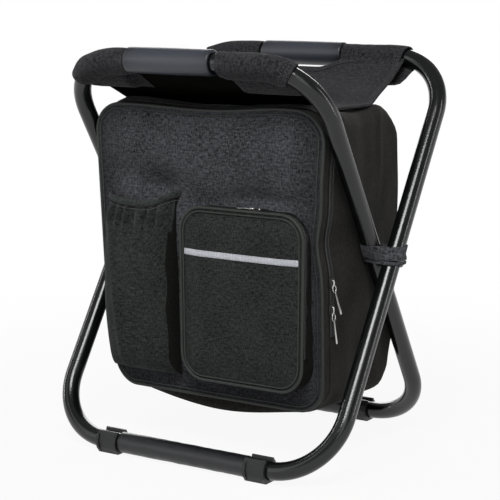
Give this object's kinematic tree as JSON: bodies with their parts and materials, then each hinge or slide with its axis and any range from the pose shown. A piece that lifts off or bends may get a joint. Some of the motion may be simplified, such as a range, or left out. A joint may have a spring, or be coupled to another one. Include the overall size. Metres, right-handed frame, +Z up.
{
  "type": "folding cooler stool",
  "caption": "Folding stool of two crossed tube loops with a cloth sling seat and a zipped insulated backpack bag hung between the legs.",
  "frame": {"origin": "on the floor, under the middle of the stool", "axes": "+X along the rails to the right as seen from the pocket side, +Y from the pocket side to the back, +Z up"},
  "size_m": [0.3536, 0.2772, 0.413],
  "materials": {
    "tube": "gloss",
    "sleeve": "satin",
    "plastic": "satin",
    "grip": "satin",
    "seat": "matte",
    "heather": "matte",
    "gusset": "matte",
    "piping": "matte",
    "lining": "satin",
    "strip": "satin",
    "zip": "matte",
    "strap": "matte",
    "slider": "polished",
    "rivet": "satin"
  },
  "bodies": {
    "outer_frame": {"outer_frame_tube": "tube", "outer_floor_sleeve": "sleeve", "outer_foot_left": "plastic", "outer_foot_right": "plastic", "rear_grip": "grip", "rear_seat_sleeve_left": "seat", "rear_seat_sleeve_right": "seat", "pivot_rivet_left": "rivet", "pivot_rivet_right": "rivet", "pivot_spacer_left": "plastic", "pivot_spacer_right": "plastic", "seat_sling": "seat"},
    "inner_frame": {"inner_frame_tube": "tube", "inner_floor_sleeve": "sleeve", "inner_foot_left": "plastic", "inner_foot_right": "plastic", "front_grip": "grip", "front_seat_sleeve_left": "seat", "front_seat_sleeve_right": "seat"},
    "cooler_bag": {"bag_shell": "gusset", "bag_lining": "lining", "main_zip_tape": "zip", "leg_band_left": "gusset", "leg_band_right": "gusset", "shoulder_pad_left": "heather", "shoulder_pad_right": "heather", "strap_webbing_left": "strap", "strap_webbing_right": "strap", "strap_buckle_left": "plastic", "strap_buckle_right": "plastic"},
    "front_door": {"door_panel": "heather", "door_lining": "lining", "door_piping": "piping", "pocket_gusset": "heather", "pocket_zip": "zip", "bottle_pocket": "heather", "bottle_pocket_hem": "piping"},
    "pocket_flap": {"pocket_panel": "heather", "pocket_piping": "piping", "bright_strip": "strip"},
    "upper_zip_slider": {"main_slider_upper": "slider"},
    "upper_zip_pull": {"main_pull_upper": "slider"},
    "lower_zip_slider": {"main_slider_lower": "slider"},
    "lower_zip_pull": {"main_pull_lower": "slider"},
    "pocket_zip_slider": {"pocket_slider": "slider"},
    "pocket_zip_pull": {"pocket_pull": "slider"}
  },
  "joints": [
    {"name": "frame_fold", "type": "hinge", "parent": "outer_frame", "child": "inner_frame", "pos_m": [0, 0, 0.206], "axis": [-1, 0, 0], "range_deg": [0, 59], "deforming": ["seat_sling"]},
    {"name": "bag_swing", "type": "hinge", "parent": "outer_frame", "child": "cooler_bag", "pos_m": [0, 0, 0.206], "axis": [-1, 0, 0], "range_deg": [0, 29.5]},
    {"name": "door_open", "type": "hinge", "parent": "cooler_bag", "child": "front_door", "pos_m": [0, -0.0684, 0.06], "axis": [1, 0, 0], "range_deg": [0, 80]},
    {"name": "pocket_open", "type": "hinge", "parent": "front_door", "child": "pocket_flap", "pos_m": [0, -0.0926, 0.079], "axis": [1, 0, 0], "range_deg": [0, 20]},
    {"name": "upper_slider_run", "type": "slide", "parent": "cooler_bag", "child": "upper_zip_slider", "axis": [0, 0, 1], "range_m": [0, 0.08]},
    {"name": "upper_pull_swing", "type": "hinge", "parent": "upper_zip_slider", "child": "upper_zip_pull", "pos_m": [0.1328, -0.0638, 0.1878], "axis": [0, -1, 0], "range_deg": [0, 75]},
    {"name": "lower_slider_run", "type": "slide", "parent": "cooler_bag", "child": "lower_zip_slider", "axis": [0, 0, 1], "range_m": [-0.063, 0]},
    {"name": "lower_pull_swing", "type": "hinge", "parent": "lower_zip_slider", "child": "lower_zip_pull", "pos_m": [0.1328, -0.0638, 0.1578], "axis": [0, -1, 0], "range_deg": [0, 75]},
    {"name": "pocket_slider_run", "type": "slide", "parent": "front_door", "child": "pocket_zip_slider", "axis": [1, 0, 0], "range_m": [-0.054, 0.025]},
    {"name": "pocket_pull_swing", "type": "hinge", "parent": "pocket_zip_slider", "child": "pocket_zip_pull", "pos_m": [0.0573, -0.0882, 0.2588], "axis": [0, 1, 0], "range_deg": [0, 150]}
  ],
  "couplings": [
    {"joint": "bag_swing", "follows": "frame_fold", "ratio": 0.5}
  ]
}
